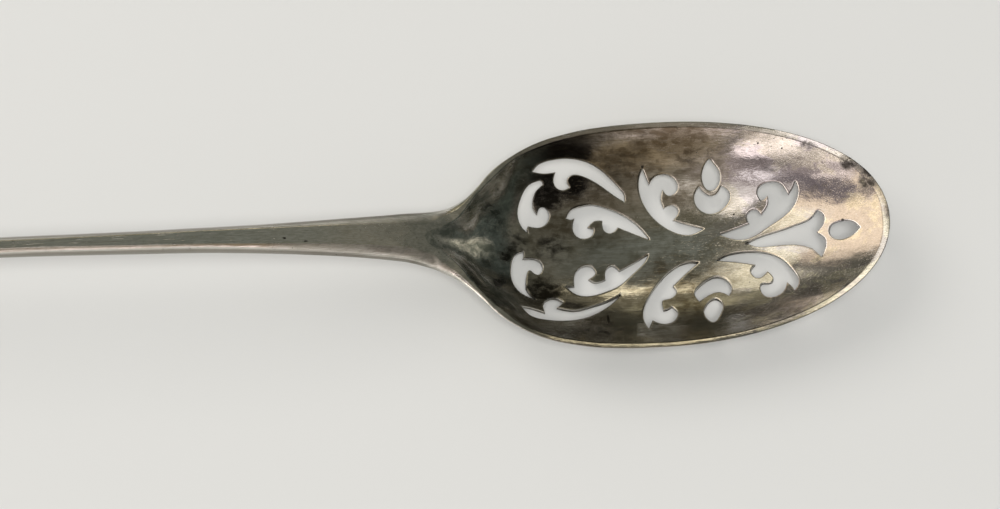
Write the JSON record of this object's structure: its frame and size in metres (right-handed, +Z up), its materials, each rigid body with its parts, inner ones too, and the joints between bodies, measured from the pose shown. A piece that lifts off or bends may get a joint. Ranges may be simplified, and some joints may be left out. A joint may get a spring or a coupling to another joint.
{
  "type": "mote spoon",
  "caption": "Long silver spoon with an oval bowl pierced with scrolls, leaves and buds, and a thin stem ending in a small flat spear point.",
  "frame": {"origin": "middle of the spoon's box in X and Y, at the level it lies on", "axes": "+X along the spoon to the tip of the bowl, +Z up out of the open side of the bowl, +Y to the left of someone looking along +X"},
  "size_m": [0.14, 0.0188, 0.0105],
  "materials": {
    "aged_silver": "aged, hand-polished silver with tarnish in the low places"
  },
  "bodies": {
    "root": {"mote_spoon": "aged_silver"}
  },
  "joints": []
}
